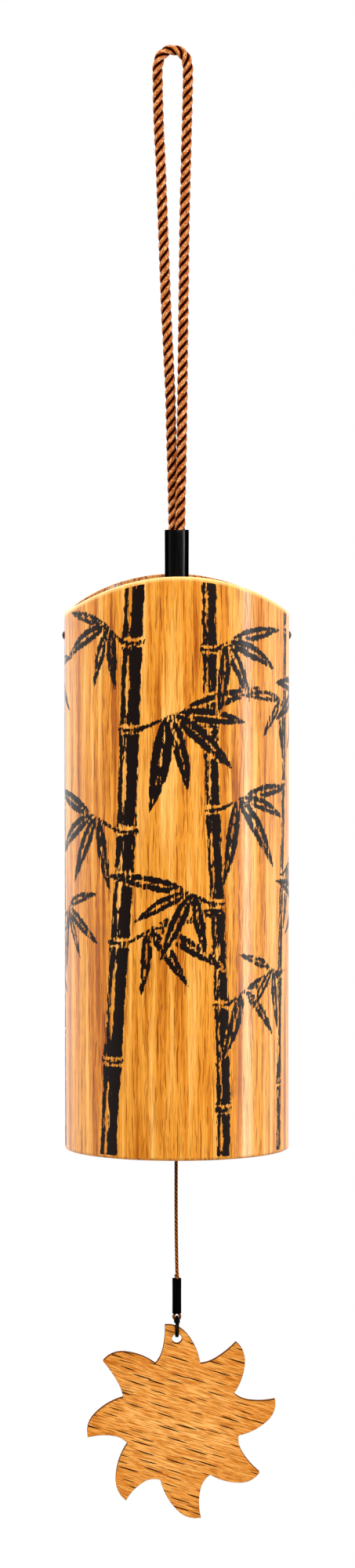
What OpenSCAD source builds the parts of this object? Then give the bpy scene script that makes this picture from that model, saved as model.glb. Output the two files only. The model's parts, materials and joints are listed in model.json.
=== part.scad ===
// Tube wind chime: a wooden resonator tube with a ring of tuned rods inside, hung on a rope loop.
// A striker hangs between the rods, and a sun-shaped wind catcher below the tube pulls it about.
// Millimetres. The origin is the hook's place in the rope loop, +Z is up and the front faces -Y.

/* [Resonator tube] */
// Outside diameter of the tube
tube_od = 63; // [58:0.5:70]
// Thickness of the tube's wall
tube_wall = 3; // [2:0.1:4]
// Height of the tube from its bottom rim to the crown of its arched top
tube_height = 161; // [150:1:190]
// Fall of the arched rim from the crown, front and back, to its low points, left and right
arch_fall = 10.5; // [5:0.5:14]
// Depth of the side pins below the crown
pin_depth = 16.8; // [16:0.1:22]

/* [Hanging rope] */
// Diameter of the rope
rope_d = 3; // [2:0.1:3]
// Length of the sleeve that holds the rope's two legs together
sleeve_length = 23; // [15:1:30]
// Wall of that sleeve
sleeve_wall = 0.3; // [0.2:0.05:0.6]
// Free rope between the sleeve and the chime plate
neck_length = 5; // [4:0.5:10]
// Diameter of the stopper knot under the chime plate
knot_d = 8.4; // [7:0.1:10]

/* [Chime plate] */
// Thickness of the plate
plate_t = 3; // [2:0.5:5]
// Gap between the plate's rim and the tube's wall
plate_gap = 0.5; // [0.3:0.1:1]
// Chamfer on the plate's rim
plate_chamfer = 0.4; // [0.2:0.1:0.8]
// Room round the rope in the plate's hole
rope_hole_gap = 0.8; // [0.5:0.1:1]

/* [Side pins] */
// Diameter of a pin's shank
pin_d = 1.5; // [1:0.1:1.8]
// Diameter of a pin's domed head
pin_head_d = 2.5; // [2.2:0.1:4]
// Height of a pin's domed head
pin_head_h = 0.65; // [0.4:0.05:1]
// Depth of a pin in the plate's rim
pin_bite = 6; // [3:0.5:8]

/* [Chime rods] */
// Diameter of the rods
rod_d = 2.4; // [2:0.1:3]
// Diameter of the circle that the rods stand on
rod_ring_d = 38; // [36:0.5:42]
// Length of the lowest-sounding rod
rod_longest = 105; // [80:1:115]
// Width of the solder bead round a rod's root
bead_w = 1.2; // [0.6:0.1:2]
// Height of the solder bead
bead_h = 1.9; // [1:0.1:3]

/* [Striker] */
// Diameter of the braided cord
cord_d = 1; // [0.8:0.05:1.2]
// Diameter of the cord's knots
cord_knot_d = 2.6; // [2.4:0.1:3.2]
// Diameter of the striker disc
striker_d = 24; // [18:0.5:28]
// Thickness of the striker disc
striker_t = 4; // [3:0.5:6]
// Radius of the striker's rounded edges
striker_edge = 1.2; // [0.5:0.1:1.4]
// Depth of the striker's middle below the plate
striker_drop = 50; // [40:1:60]

/* [Wind catcher] */
// Free cord from the tube's bottom rim to the cord sleeve
catcher_drop = 37.2; // [20:0.2:80]
// Length of the sleeve that holds the cord's eye shut
cord_sleeve_length = 10; // [6:0.5:16]
// Wall of that sleeve
cord_sleeve_wall = 0.2; // [0.15:0.05:0.5]
// Diameter of the thread of the link
link_d = 0.8; // [0.6:0.05:0.9]
// Reach of the link from the eye's cord to its run through the sun
link_reach = 4.4; // [4.2:0.1:8]
// Mean diameter over the tips of the sun's rays
sun_tip_d = 54.6; // [48:0.2:60]
// Mean diameter through the valleys between the rays
sun_valley_d = 34.4; // [30:0.2:38]
// Rise of a ray's rounded flank, as a share of its length
sun_bulge = 0.19; // [0.15:0.01:0.22]
// Thickness of the sun
sun_t = 3; // [2:0.1:4]
// Diameter of the sun's hanging hole
sun_hole_d = 2.8; // [2.4:0.1:3.2]
// Distance of the hole's centre in from the circle through the tips
sun_hole_in = 4.3; // [3.6:0.1:5]

/* [Fits] */
// Gap between pieces that move past each other
run_gap = 0.3; // [0.2:0.05:0.4]
// Gap round a piece that its neighbour holds
seat_gap = 0.05; // [0.02:0.01:0.1]
// Gap round a thread or cord that hangs in an eye or a hole
link_gap = 0.1; // [0.05:0.01:0.15]

/* [Hidden] */
$fn = 96;

// Route of the rope from the end of its right leg, over the hook, to the end of its left leg
rope_route = [
    [0.9, -1.25, -131.7], [1.0, -1.2, -124], [1.2, -1.0, -116], [1.35, -0.8, -108], [1.5, -0.5, -100],
    [1.6, -0.2, -92], [1.7, 0, -84], [1.8, 0, -76], [1.9, 0, -68], [2.0, 0, -60], [2.1, 0, -52],
    [2.2, 0, -44], [2.4, 0, -36], [2.6, 0, -28], [2.8, 0, -20], [3.0, 0, -12], [3.1, 0, -6],
    [3.0, 0, -2.6], [2.4, 0, -0.5], [0.9, 0, 1.0], [-1.1, 0, 1.5], [-3.1, 0, 1.0], [-4.6, 0, -0.5],
    [-5.2, 0, -2.6], [-5.3, 0, -8], [-5.2, 0, -14], [-4.9, 0, -22], [-4.5, 0, -30], [-4.2, 0, -38],
    [-3.9, 0, -46], [-3.6, 0, -54], [-3.3, 0, -62], [-3.0, 0, -70], [-2.6, 0, -78], [-2.2, 0.1, -86],
    [-1.8, 0.3, -94], [-1.6, 0.6, -102], [-1.4, 0.9, -110], [-1.1, 1.2, -120], [-0.9, 1.25, -131.7]
];
// Sides of a cord's tube
cord_sides = 8;

// Pitches of the rods in the order they stand round the ring, in semitones above the lowest
rod_semitones = [0, 10, 3, 15, 5, 17, 7, 12];
rod_count = len(rod_semitones);

// Rays of the sun, cut freehand, clockwise from the first. Each gives its tip's reach as a share of the mean
// and the turn from its even place, the same for the valley after it, and the depth of the next hollow flank
sun_rays = [
    [1.00, 0, 0.97, 2, 0.085], [0.98, 0, 0.955, 2, 0.115],
    [0.99, 2, 0.97, 4.5, 0.12], [0.98, 0.5, 1.025, 2.5, 0.145],
    [1.045, 1, 1.055, 1, 0.17], [1.02, 0.5, 0.97, -1, 0.135],
    [0.99, 0.5, 1.03, -0.5, 0.065], [1.02, -2, 1.02, 0.5, 0.09]
];
// Angle of the first tip, even angle from a tip to the valley after it, and angle of the hanging hole
sun_tip_angle = 100;
sun_lead_angle = 30.5;
sun_hole_angle = 93.4;
// Place of a flank's crest along it, and straight steps along a flank
sun_crest = 0.37;
sun_flank_steps = 12;

// Heights down the hanging rope
rope_end = rope_route[0];
sleeve_top = rope_end.z - run_gap;
sleeve_bottom = sleeve_top - sleeve_length;
plate_top = sleeve_bottom - neck_length;
neck_z = plate_top + neck_length / 2;
plate_bottom = plate_top - plate_t;
pin_z = plate_top - plate_t / 2;
crown_z = pin_z + pin_depth;
tube_bottom = crown_z - tube_height;

// Radii that fit each other
tube_r = tube_od / 2;
tube_inner_r = tube_r - tube_wall;
arch_r = (tube_r * tube_r + arch_fall * arch_fall) / (2 * arch_fall);
plate_r = tube_inner_r - plate_gap;
rope_r = rope_d / 2;
rope_hole_r = rope_r + rope_hole_gap;
sleeve_bore_r = norm([rope_end.x, rope_end.y]) + rope_r + seat_gap;
pin_hole_r = pin_d / 2 + seat_gap;
rod_ring_r = rod_ring_d / 2;
cord_r = cord_d / 2;
cord_knot_r = cord_knot_d / 2;
striker_bore_r = cord_r + run_gap;

// The rope's stopper knot rests in the mouth of the plate's hole
knot_r = knot_d / 2;
knot_z = plate_bottom - sqrt(knot_r * knot_r - rope_hole_r * rope_hole_r) - seat_gap;
// The cord's hitch hangs under that knot, and its two stops rest in the mouths of the striker's bore
hitch_z = knot_z - knot_r - run_gap - cord_knot_r;
striker_z = plate_bottom - striker_drop;
stop_offset = striker_t / 2 + sqrt(cord_knot_r * cord_knot_r - striker_bore_r * striker_bore_r) + seat_gap;
upper_stop_z = striker_z + stop_offset;
lower_stop_z = striker_z - stop_offset;

// Heights down the catcher's cord
cord_sleeve_top = tube_bottom - catcher_drop;
cord_sleeve_bottom = cord_sleeve_top - cord_sleeve_length;
// Half the distance between the two strands in the cord sleeve
cord_leg_x = cord_r + seat_gap / 2;
cord_sleeve_bore_r = cord_leg_x + cord_r + seat_gap;
// Turn of the strands about each other from the eye, where they lie side by side, to the top of the sleeve
cord_leg_turn = -66;
// Cord that bends from the middle to its strand above the sleeve, and the cut end that shows there
cord_bend = 3;
cord_end = 0.8;
// The eye below the sleeve: half width, drop of its round part and height of its lowest cord
eye_r = link_d / 2 + link_gap + cord_r;
eye_z = cord_sleeve_bottom - 0.8 * cord_d;
eye_low = eye_z - eye_r;

// The link runs over the eye's cord, down both faces of the sun and through its hole
link_top_r = cord_r + link_gap + link_d / 2;
link_corner_r = link_gap + link_d / 2;
link_y = sun_t / 2 + link_corner_r;
link_low = eye_low - link_reach;
sun_hole_z = link_low + link_d / 2 + link_gap - sun_hole_d / 2;
sun_hole_out = sun_tip_d / 2 - sun_hole_in;
sun_centre = [-sun_hole_out * cos(sun_hole_angle), sun_hole_z - sun_hole_out * sin(sun_hole_angle)];

// Small margin by which cutters overrun what they cut
over = 1;

function unit(v) = v / norm(v);
function polar(r, a) = [r * cos(a), r * sin(a)];
function rod_angle(i) = 360 / rod_count * (i - 1);
// A rod clamped at one end sounds at a pitch that goes with the inverse square of its length
function rod_length(i) = rod_longest * pow(2, -rod_semitones[i - 1] / 24);

// Direction of a path at one of its points, for an open or a closed path
function heading(path, i, closed) =
    let (n = len(path))
    closed ? unit(path[(i + 1) % n] - path[(i + n - 1) % n])
           : unit(path[min(i + 1, n - 1)] - path[max(i - 1, 0)]);

// Points from p to q along two arcs that meet at a crest. It lies the share at of the way along,
// and rise is its height to the left as a share of the distance, or to the right where it is negative
function bow(p, q, at, rise, steps) =
    let (way = q - p, left = [-way.y, way.x])
    [for (i = [0:steps - 1])
        let (t = i / steps, reach = t < at ? at : 1 - at)
        let (r = (reach * reach + rise * rise) / (2 * abs(rise)))
        p + t * way + (rise - sign(rise) * (r - sqrt(r * r - pow(t - at, 2)))) * left];

// Middle of a strand in the cord sleeve, on side 1 or -1; share is 0 at the sleeve's bottom and 1 at its top
function cord_leg(side, share) =
    let (place = side * polar(cord_leg_x, cord_leg_turn * share))
    [place.x, place.y, cord_sleeve_bottom + share * cord_sleeve_length];

// Round tube along a path; side is a direction that the path never runs along
module cord_tube(path, d, side, closed = false) {
    n = len(path);
    rings = [for (i = [0:n - 1])
        let (t = heading(path, i, closed), u = unit(cross(side, t)), v = cross(t, u))
        for (k = [0:cord_sides - 1])
            let (a = 360 * (k + 0.5) / cord_sides)
            path[i] + d / 2 * (cos(a) * u + sin(a) * v)];
    walls = [for (i = [0:n - (closed ? 1 : 2)], k = [0:cord_sides - 1])
        let (a = i * cord_sides, b = (i + 1) % n * cord_sides, m = (k + 1) % cord_sides)
        each [[a + k, b + k, b + m], [a + k, b + m, a + m]]];
    caps = closed ? [] : [[for (k = [0:cord_sides - 1]) k],
                          [for (k = [cord_sides - 1:-1:0]) (n - 1) * cord_sides + k]];
    polyhedron(points = rings, faces = concat(walls, caps), convexity = 6);
}

// Outline seen from the front: everything below the arched top
module arch_profile() {
    translate([0, crown_z - arch_r])
        circle(arch_r, $fn = 180);
    translate([-arch_r, tube_bottom - over])
        square([2 * arch_r, crown_z - arch_r - tube_bottom + over]);
}

// Tube, arched at the top and drilled for the two side pins
module resonator_tube() {
    color("#d6a05a")
    difference() {
        intersection() {
            translate([0, 0, tube_bottom])
                cylinder(r = tube_r, h = tube_height + over);
            rotate([90, 0, 0])
                linear_extrude(2 * tube_od, center = true)
                    arch_profile();
        }
        translate([0, 0, tube_bottom - over])
            cylinder(r = tube_inner_r, h = tube_height + 3 * over);
        translate([0, 0, pin_z])
            rotate([0, 90, 0])
                cylinder(r = pin_hole_r, h = 2 * tube_od, center = true);
    }
}

// Steel disc that carries the rods, with the rope's hole and a pin hole in each side of its rim
module chime_plate() {
    color("#aeb2b6")
    difference() {
        translate([0, 0, pin_z])
            rotate_extrude()
                polygon([
                    [rope_hole_r, -plate_t / 2],
                    [plate_r - plate_chamfer, -plate_t / 2],
                    [plate_r, plate_chamfer - plate_t / 2],
                    [plate_r, plate_t / 2 - plate_chamfer],
                    [plate_r - plate_chamfer, plate_t / 2],
                    [rope_hole_r, plate_t / 2]
                ]);
        for (side = [0, 180])
            rotate([0, 0, side])
                translate([plate_r - pin_bite - seat_gap, 0, pin_z])
                    rotate([0, 90, 0])
                        cylinder(r = pin_hole_r, h = pin_bite + over);
    }
}

// Domed pin through the tube's wall into the plate, with its head to +X
module side_pin() {
    dome_r = (pow(pin_head_d / 2, 2) + pow(pin_head_h, 2)) / (2 * pin_head_h);
    shank = tube_r - plate_r + pin_bite;
    translate([tube_r, 0, pin_z])
        rotate([0, 90, 0])
            union() {
                translate([0, 0, -shank])
                    cylinder(d = pin_d, h = shank + pin_head_h / 2);
                intersection() {
                    translate([0, 0, pin_head_h - dome_r])
                        sphere(dome_r);
                    cylinder(r = dome_r + over, h = dome_r + over);
                }
            }
}

module side_pin_left() {
    color("#3c342e")
    rotate([0, 0, 180])
        side_pin();
}

module side_pin_right() {
    color("#3c342e")
    side_pin();
}

// One tuned rod with a chamfered free end
module chime_rod(i) {
    end = rod_d / 8;
    color("#c9ccd0")
    rotate([0, 0, rod_angle(i)])
        translate([rod_ring_r, 0, plate_bottom - rod_length(i)])
            rotate_extrude()
                polygon([[0, 0], [rod_d / 2 - end, 0], [rod_d / 2, end],
                         [rod_d / 2, rod_length(i)], [0, rod_length(i)]]);
}

// Beads of solder round the roots of the rods
module solder_beads() {
    color("#8f9398")
    for (i = [1:rod_count])
        rotate([0, 0, rod_angle(i)])
            translate([rod_ring_r, 0, plate_bottom])
                rotate_extrude()
                    polygon([[rod_d / 2, 0], [rod_d / 2 + bead_w, 0],
                             [rod_d / 2 + 0.85 * bead_w, -0.15 * bead_h],
                             [rod_d / 2 + 0.3 * bead_w, -0.6 * bead_h],
                             [rod_d / 2 + 0.1 * bead_w, -bead_h], [rod_d / 2, -bead_h]]);
}

// Rope loop over the hook, down to the sleeve
module rope_loop() {
    color("#c78450")
    cord_tube(rope_route, rope_d, [0, 1, 0]);
}

// Shrunk sleeve round the rope's two legs
module hanger_sleeve() {
    color("#161616")
    translate([0, 0, sleeve_bottom])
        difference() {
            cylinder(r = sleeve_bore_r + sleeve_wall, h = sleeve_length);
            translate([0, 0, -over])
                cylinder(r = sleeve_bore_r, h = sleeve_length + 2 * over);
        }
}

// The rope in the sleeve: one leg ends there, and the other leads to the middle and out below
module rope_tails() {
    bend = 3 * rope_d;
    color("#c78450") {
        translate([-rope_end.x, -rope_end.y, sleeve_bottom + bend])
            cylinder(d = rope_d, h = sleeve_length - bend);
        cord_tube([
            [rope_end.x, rope_end.y, sleeve_top],
            [rope_end.x, rope_end.y, sleeve_bottom + bend],
            [rope_end.x * 0.75, rope_end.y * 0.75, sleeve_bottom + bend * 0.75],
            [rope_end.x * 0.25, rope_end.y * 0.25, sleeve_bottom + bend * 0.4],
            [0, 0, sleeve_bottom + bend * 0.15],
            [0, 0, neck_z + rope_r + run_gap]
        ], rope_d, [0, 1, 0]);
    }
}

// Middle of the rope's free neck, which bends every way
module rope_neck() {
    color("#c78450")
    translate([0, 0, neck_z])
        sphere(rope_r);
}

// Stopper knot under the plate, with the rope that comes down through the plate's hole
module rope_knot() {
    color("#c78450")
    union() {
        translate([0, 0, knot_z])
            sphere(knot_r);
        translate([0, 0, knot_z])
            cylinder(r = rope_r, h = neck_z - rope_r - run_gap - knot_z);
    }
}

// Knot that hangs the striker's cord under the rope's knot
module cord_hitch() {
    color("#6b4024")
    translate([0, 0, hitch_z])
        sphere(cord_knot_r);
}

// Cord through the striker, with a stop knot above and below the disc
module striker_cord() {
    color("#6b4024")
    union() {
        translate([0, 0, lower_stop_z])
            cylinder(r = cord_r, h = hitch_z - cord_knot_r - run_gap - lower_stop_z);
        translate([0, 0, upper_stop_z])
            sphere(cord_knot_r);
        translate([0, 0, lower_stop_z])
            sphere(cord_knot_r);
    }
}

// Wooden disc with rounded edges that swings against the rods
module striker_disc() {
    flat = striker_t / 2 - striker_edge;
    color("#c8955c")
    translate([0, 0, striker_z])
        rotate_extrude()
            difference() {
                union() {
                    translate([0, -striker_t / 2])
                        square([striker_d / 2 - striker_edge, striker_t]);
                    translate([0, -flat])
                        square([striker_d / 2, 2 * flat]);
                    for (z = [-flat, flat])
                        translate([striker_d / 2 - striker_edge, z])
                            circle(striker_edge);
                }
                translate([-over, -striker_t])
                    square([striker_bore_r + over, 2 * striker_t]);
            }
}

// Cord from the striker's lower stop down to the cord sleeve
module catcher_cord() {
    top = lower_stop_z - cord_knot_r - run_gap;
    bend_top = cord_sleeve_top + cord_bend;
    steps = 40;
    straight = [for (i = [0:steps]) [0, 0, top + (bend_top - top) * i / steps]];
    color("#6b4024")
    cord_tube(concat(straight, [cord_leg(1, 1)]), cord_d, [0, 1, 0]);
}

// Sleeve round the two strands above the eye
module cord_sleeve() {
    color("#141414")
    translate([0, 0, cord_sleeve_bottom])
        difference() {
            cylinder(r = cord_sleeve_bore_r + cord_sleeve_wall, h = cord_sleeve_length);
            translate([0, 0, -over])
                cylinder(r = cord_sleeve_bore_r, h = cord_sleeve_length + 2 * over);
        }
}

// The cord through the sleeve, round the eye and back to its cut end
module cord_eye() {
    round_part = [for (a = [0:30:180]) [eye_r * cos(a), 0, eye_z - eye_r * sin(a)]];
    color("#6b4024")
    cord_tube(concat(
        [for (share = [1:-0.2:0]) cord_leg(1, share)],
        round_part,
        [for (share = [0:0.2:1]) cord_leg(-1, share)],
        [cord_leg(-1, 1) + [0, 0, cord_end]]
    ), cord_d, [0, 1, 0]);
}

// Half of the link, from the middle of its top to the middle of its lower run, on the side of +Y
function link_half() = concat(
    [for (a = [90:-30:0]) [0, link_top_r * cos(a), eye_low + link_top_r * sin(a)]],
    [[0, (link_top_r + 2 * link_y) / 3, eye_low - link_d * 0.35], [0, link_y, eye_low - link_d]],
    [for (a = [0:-30:-90])
        [0, sun_t / 2 + link_corner_r * cos(a), link_low + link_corner_r * (1 + sin(a))]],
    [[0, 0, link_low]]
);

// Loop of thread through the eye and the sun's hole
module link_loop() {
    half = link_half();
    back = [for (i = [len(half) - 2:-1:1]) [0, -half[i].y, half[i].z]];
    color("#101010")
    cord_tube(concat(half, back), link_d, [1, 0, 0], closed = true);
}

// Sun with swirling rays: each ray is convex on its leading side and hollow on its trailing side
module sun_outline() {
    n = len(sun_rays);
    tips = [for (k = [0:n - 1])
        let (even = sun_tip_angle - 360 / n * k)
        polar(sun_tip_d / 2 * sun_rays[k][0], even + sun_rays[k][1])];
    valleys = [for (k = [0:n - 1])
        let (even = sun_tip_angle - 360 / n * k - sun_lead_angle)
        polar(sun_valley_d / 2 * sun_rays[k][2], even + sun_rays[k][3])];
    polygon([for (k = [0:n - 1])
        each concat(bow(tips[k], valleys[k], sun_crest, sun_bulge, sun_flank_steps),
                    bow(valleys[k], tips[(k + 1) % n], sun_crest, -sun_rays[k][4], sun_flank_steps))]);
}

module sun_catcher() {
    color("#d9914a")
    translate([sun_centre.x, 0, sun_centre.y])
        rotate([90, 0, 0])
            linear_extrude(sun_t, center = true)
                difference() {
                    sun_outline();
                    translate(polar(sun_hole_out, sun_hole_angle))
                        circle(d = sun_hole_d);
                }
}

rope_loop();
hanger_sleeve();
rope_tails();
rope_neck();
rope_knot();
resonator_tube();
chime_plate();
side_pin_left();
side_pin_right();
for (i = [1:rod_count])
    chime_rod(i);
solder_beads();
cord_hitch();
striker_cord();
striker_disc();
catcher_cord();
cord_sleeve();
cord_eye();
link_loop();
sun_catcher();
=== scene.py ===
import json
import math

import bpy
import numpy as np
from mathutils import Euler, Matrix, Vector


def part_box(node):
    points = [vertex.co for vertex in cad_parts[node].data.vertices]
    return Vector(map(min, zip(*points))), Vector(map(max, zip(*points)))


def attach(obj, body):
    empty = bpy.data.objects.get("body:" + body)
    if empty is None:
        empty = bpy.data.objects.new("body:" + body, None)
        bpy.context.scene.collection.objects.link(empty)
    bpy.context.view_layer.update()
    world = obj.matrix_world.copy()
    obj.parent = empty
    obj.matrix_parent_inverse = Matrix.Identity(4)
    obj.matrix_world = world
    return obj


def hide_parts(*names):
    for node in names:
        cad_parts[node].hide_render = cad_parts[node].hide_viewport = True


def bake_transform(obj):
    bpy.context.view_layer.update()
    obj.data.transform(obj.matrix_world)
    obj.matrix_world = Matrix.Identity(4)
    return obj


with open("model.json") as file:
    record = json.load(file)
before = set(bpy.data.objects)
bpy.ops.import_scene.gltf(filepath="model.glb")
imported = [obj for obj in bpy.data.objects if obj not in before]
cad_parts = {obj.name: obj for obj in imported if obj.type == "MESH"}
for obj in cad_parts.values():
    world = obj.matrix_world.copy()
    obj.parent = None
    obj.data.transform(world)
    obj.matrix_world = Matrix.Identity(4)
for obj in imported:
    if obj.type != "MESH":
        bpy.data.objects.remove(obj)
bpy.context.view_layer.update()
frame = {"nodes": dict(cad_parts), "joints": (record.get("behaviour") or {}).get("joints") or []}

# Looks of a tube wind chime: rope, cords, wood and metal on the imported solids.
# Metres, in the frame of the solids: the origin is the hook's place, +Z is up and the front faces -Y.
MM = 0.001
PIVOT_Z = {joint["name"]: joint["pos_m"][2] for joint in frame["joints"]}


# Camera
PHOTO_HEIGHT = 2000
FOCAL_PIXELS = 6620
SENSOR = 36.0
CAMERA_AZIMUTH = math.radians(-1.75)
CAMERA_REACH = 1.4547
CAMERA_Z = -0.1245
CAMERA_ASIDE = 0.0002
CAMERA_PITCH = math.radians(-3.1)


def make_camera():
    """A long lens at the photograph's place, height and slight downward look."""
    data = bpy.data.cameras.new("camera")
    data.sensor_width = SENSOR
    data.lens = SENSOR * FOCAL_PIXELS / PHOTO_HEIGHT
    data.clip_end = 50
    camera = bpy.data.objects.new("camera", data)
    camera.location = (CAMERA_REACH * math.sin(CAMERA_AZIMUTH) + CAMERA_ASIDE,
                       -CAMERA_REACH * math.cos(CAMERA_AZIMUTH), CAMERA_Z)
    camera.rotation_euler = Euler((math.pi / 2 + CAMERA_PITCH, 0, CAMERA_AZIMUTH))
    bpy.context.scene.collection.objects.link(camera)
    bpy.context.scene.camera = camera


# Materials
class Graph:
    """Builds one material's nodes. Each method returns the socket that carries its result."""

    def __init__(self, name, **values):
        self.material = bpy.data.materials.new(name)
        self.material.use_nodes = True
        self.nodes = self.material.node_tree.nodes
        self.links = self.material.node_tree.links
        self.shader = self.nodes["Principled BSDF"]
        for socket, value in values.items():
            self.shader.inputs[socket.replace("_", " ")].default_value = value

    def add(self, kind, inputs, **settings):
        node = self.nodes.new(kind)
        for setting, value in settings.items():
            setattr(node, setting, value)
        for socket, value in inputs.items():
            if isinstance(value, bpy.types.NodeSocket):
                self.links.new(value, node.inputs[socket])
            else:
                node.inputs[socket].default_value = value
        return node

    def value(self, name):
        """A number stored on the mesh's points."""
        return self.add("ShaderNodeAttribute", {}, attribute_name=name).outputs["Fac"]

    def vector(self, name):
        """A vector stored on the mesh's points."""
        return self.add("ShaderNodeAttribute", {}, attribute_name=name).outputs["Vector"]

    def place(self, stretch=(1, 1, 1), turn=(0, 0, 0)):
        """Place on the piece in metres, turned and then scaled."""
        point = self.add("ShaderNodeTexCoord", {}).outputs["Object"]
        return self.stretched(point, stretch, turn)

    def stretched(self, point, stretch=(1, 1, 1), turn=(0, 0, 0)):
        turned = self.add("ShaderNodeMapping", {"Vector": point, "Rotation": turn}).outputs["Vector"]
        return self.add("ShaderNodeMapping", {"Vector": turned, "Scale": stretch}).outputs["Vector"]

    def facing(self, axis):
        """How far the surface faces along one of the piece's own axes, either way."""
        normal = self.add("ShaderNodeTexCoord", {}).outputs["Normal"]
        return self.math("ABSOLUTE", self.add("ShaderNodeSeparateXYZ", {0: normal}).outputs[axis])

    def away(self):
        """How far the surface turns away from the viewer, for its gloss."""
        return self.add("ShaderNodeLayerWeight", {"Blend": 0.5}).outputs["Facing"]

    def noise(self, where, size, detail=2.0, rough=0.5):
        """Noise whose spots are about size metres across."""
        inputs = {"Vector": where, "Scale": 1 / size, "Detail": detail, "Roughness": rough}
        return self.add("ShaderNodeTexNoise", inputs).outputs["Fac"]

    def dashes(self, where, cell, size, share):
        """Dashes along X, one in a share of the cells of the XY plane.

        The cell and the dash in it are given as (length, width) in metres.
        """
        grid = self.stretched(where, (1 / cell[0], 1 / cell[1], 0))
        inputs = {"Vector": grid, "Scale": 1.0, "Randomness": 0.9}
        cells = self.add("ShaderNodeTexVoronoi", inputs, voronoi_dimensions="2D")
        chance = self.add("ShaderNodeSeparateColor", {0: cells.outputs["Color"]})
        inputs = {0: grid, 1: cells.outputs["Position"]}
        off = self.add("ShaderNodeVectorMath", inputs, operation="SUBTRACT").outputs[0]
        off = self.stretched(off, (2 * cell[0] / size[0], 2 * cell[1] / size[1], 0))
        far = self.add("ShaderNodeVectorMath", {0: off}, operation="LENGTH").outputs["Value"]
        far = self.math("DIVIDE", far, self.span(chance.outputs[1], 0, 1, 0.55, 1.0))
        there = self.math("LESS_THAN", chance.outputs[0], share)
        return self.math("MULTIPLY", self.span(far, 0.8, 1.08, 1.0, 0.0), there)

    def math(self, operation, a, b=0.0):
        return self.add("ShaderNodeMath", {0: a, 1: b}, operation=operation).outputs[0]

    def weighed(self, a, share, b):
        """The given share of a and the rest of b."""
        return self.math("ADD", self.math("MULTIPLY", a, share), self.math("MULTIPLY", b, 1 - share))

    def span(self, value, low, high, to_low=0.0, to_high=1.0):
        """Smooth step of a value from one range to another."""
        inputs = {"Value": value, "From Min": low, "From Max": high, "To Min": to_low, "To Max": to_high}
        return self.add("ShaderNodeMapRange", inputs, interpolation_type="SMOOTHSTEP").outputs[0]

    def ramp(self, value, stops):
        """Colours at places from 0 to 1."""
        node = self.add("ShaderNodeValToRGB", {0: value})
        elements = node.color_ramp.elements
        while len(elements) < len(stops):
            elements.new(0.5)
        for element, (place, colour) in zip(elements, stops):
            element.position = place
            element.color = (*colour, 1)
        return node.outputs[0]

    def mix(self, amount, a, b, blend="MIX"):
        a, b = ((*c, 1) if isinstance(c, tuple) and len(c) == 3 else c for c in (a, b))
        inputs = {0: amount, 6: a, 7: b}
        return self.add("ShaderNodeMix", inputs, data_type="RGBA", blend_type=blend).outputs[2]

    def bump(self, height, depth, strength=1.0):
        inputs = {"Height": height, "Distance": depth, "Strength": strength}
        self.drive("Normal", self.add("ShaderNodeBump", inputs).outputs["Normal"])

    def drive(self, socket, source):
        self.links.new(source, self.shader.inputs[socket])


def tube_wood():
    """Golden straight-grained veneer under satin lacquer, with a print in dark ink. The top rim gets lighter
    sanded wood with a painted highlight, and the raw wood inside and at the foot is darkened as painted
    shade.
    """
    g = Graph("tube_wood", Coat_Roughness=0.24, Specular_IOR_Level=0.08)
    bands = g.noise(g.place((1, 1, 0.03)), 2.2 * MM, 2)
    hairs = g.noise(g.place((1, 1, 0.03)), 0.3 * MM, 3, 0.65)
    clouds = g.noise(g.place((1, 1, 0.22)), 12 * MM, 2)
    tone = g.weighed(bands, 0.8, clouds)
    colour = g.ramp(tone, [(0.34, (0.33, 0.084, 0.004)), (0.43, (0.55, 0.185, 0.012)),
                           (0.53, (0.64, 0.262, 0.029)), (0.66, (0.79, 0.395, 0.097))])
    fibre = g.ramp(hairs, [(0.32, (0.74, 0.62, 0.48)), (0.5, (0.98, 0.97, 0.95)), (0.66, (1.12, 1.16, 1.3))])
    colour = g.mix(0.9, colour, fibre, "MULTIPLY")
    marks = veneer_marks(g, bands)
    colour = g.mix(marks, colour, (0.16, 0.026, 0.001))
    pores = g.noise(g.place((1, 1, 0.3)), 0.55 * MM, 2, 0.7)
    # Raw unlacquered wood with dark pores, made darker as painted shade.
    raw = g.mix(g.span(pores, 0.50, 0.62), (0.42, 0.155, 0.024), (0.09, 0.022, 0.003))
    colour = g.mix(g.value("raw"), colour, raw)
    # Top rim: lighter sanded wood plus a painted highlight. The foot's edge gets none, as it lies in shade.
    colour = g.mix(g.math("MULTIPLY", g.value("edge"), 0.7), colour, (0.88, 0.54, 0.18))
    ink = tube_ink(g)
    g.drive("Base Color", g.mix(ink, colour, (0.006, 0.003, 0.0025)))
    lacquer = g.span(g.away(), 0.45, 0.8, 0.6, 0.4)
    g.drive("Coat Weight", g.math("MULTIPLY", lacquer, g.span(ink, 0, 1, 1.0, 0.3)))
    g.drive("Roughness", g.span(hairs, 0.2, 0.8, 0.36, 0.52))
    relief = g.math("SUBTRACT", hairs, g.math("MULTIPLY", marks, 0.6))
    g.bump(relief, 0.03 * MM, 0.5)
    return g.material


def tube_ink(g):
    """How much ink covers the wood: the print with ragged edges, and worn off in thin streaks."""
    ragged = g.noise(g.place((1, 1, 0.35)), 0.9 * MM, 3, 0.7)
    worn = g.noise(g.place((1, 1, 0.12)), 0.7 * MM, 2)
    depth = g.math("ADD", g.value("ink"), g.span(ragged, 0.25, 0.75, -0.34, 0.34))
    depth = g.math("SUBTRACT", depth, g.span(worn, 0.60, 0.80, 0.0, 1.3))
    return g.span(depth, -0.06, 0.06)


# Dashes of the veneer in mm: length and width of a cell, length and width of the dash in it,
# share of the cells that have a dash, and its strength
VENEER_MARKS = (
    ((16, 2.0), (13, 0.40), 0.85, 0.85),
    ((9, 1.2), (7.5, 0.30), 0.75, 0.72),
    ((4, 0.7), (3.2, 0.20), 0.65, 0.55),
)


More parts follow.
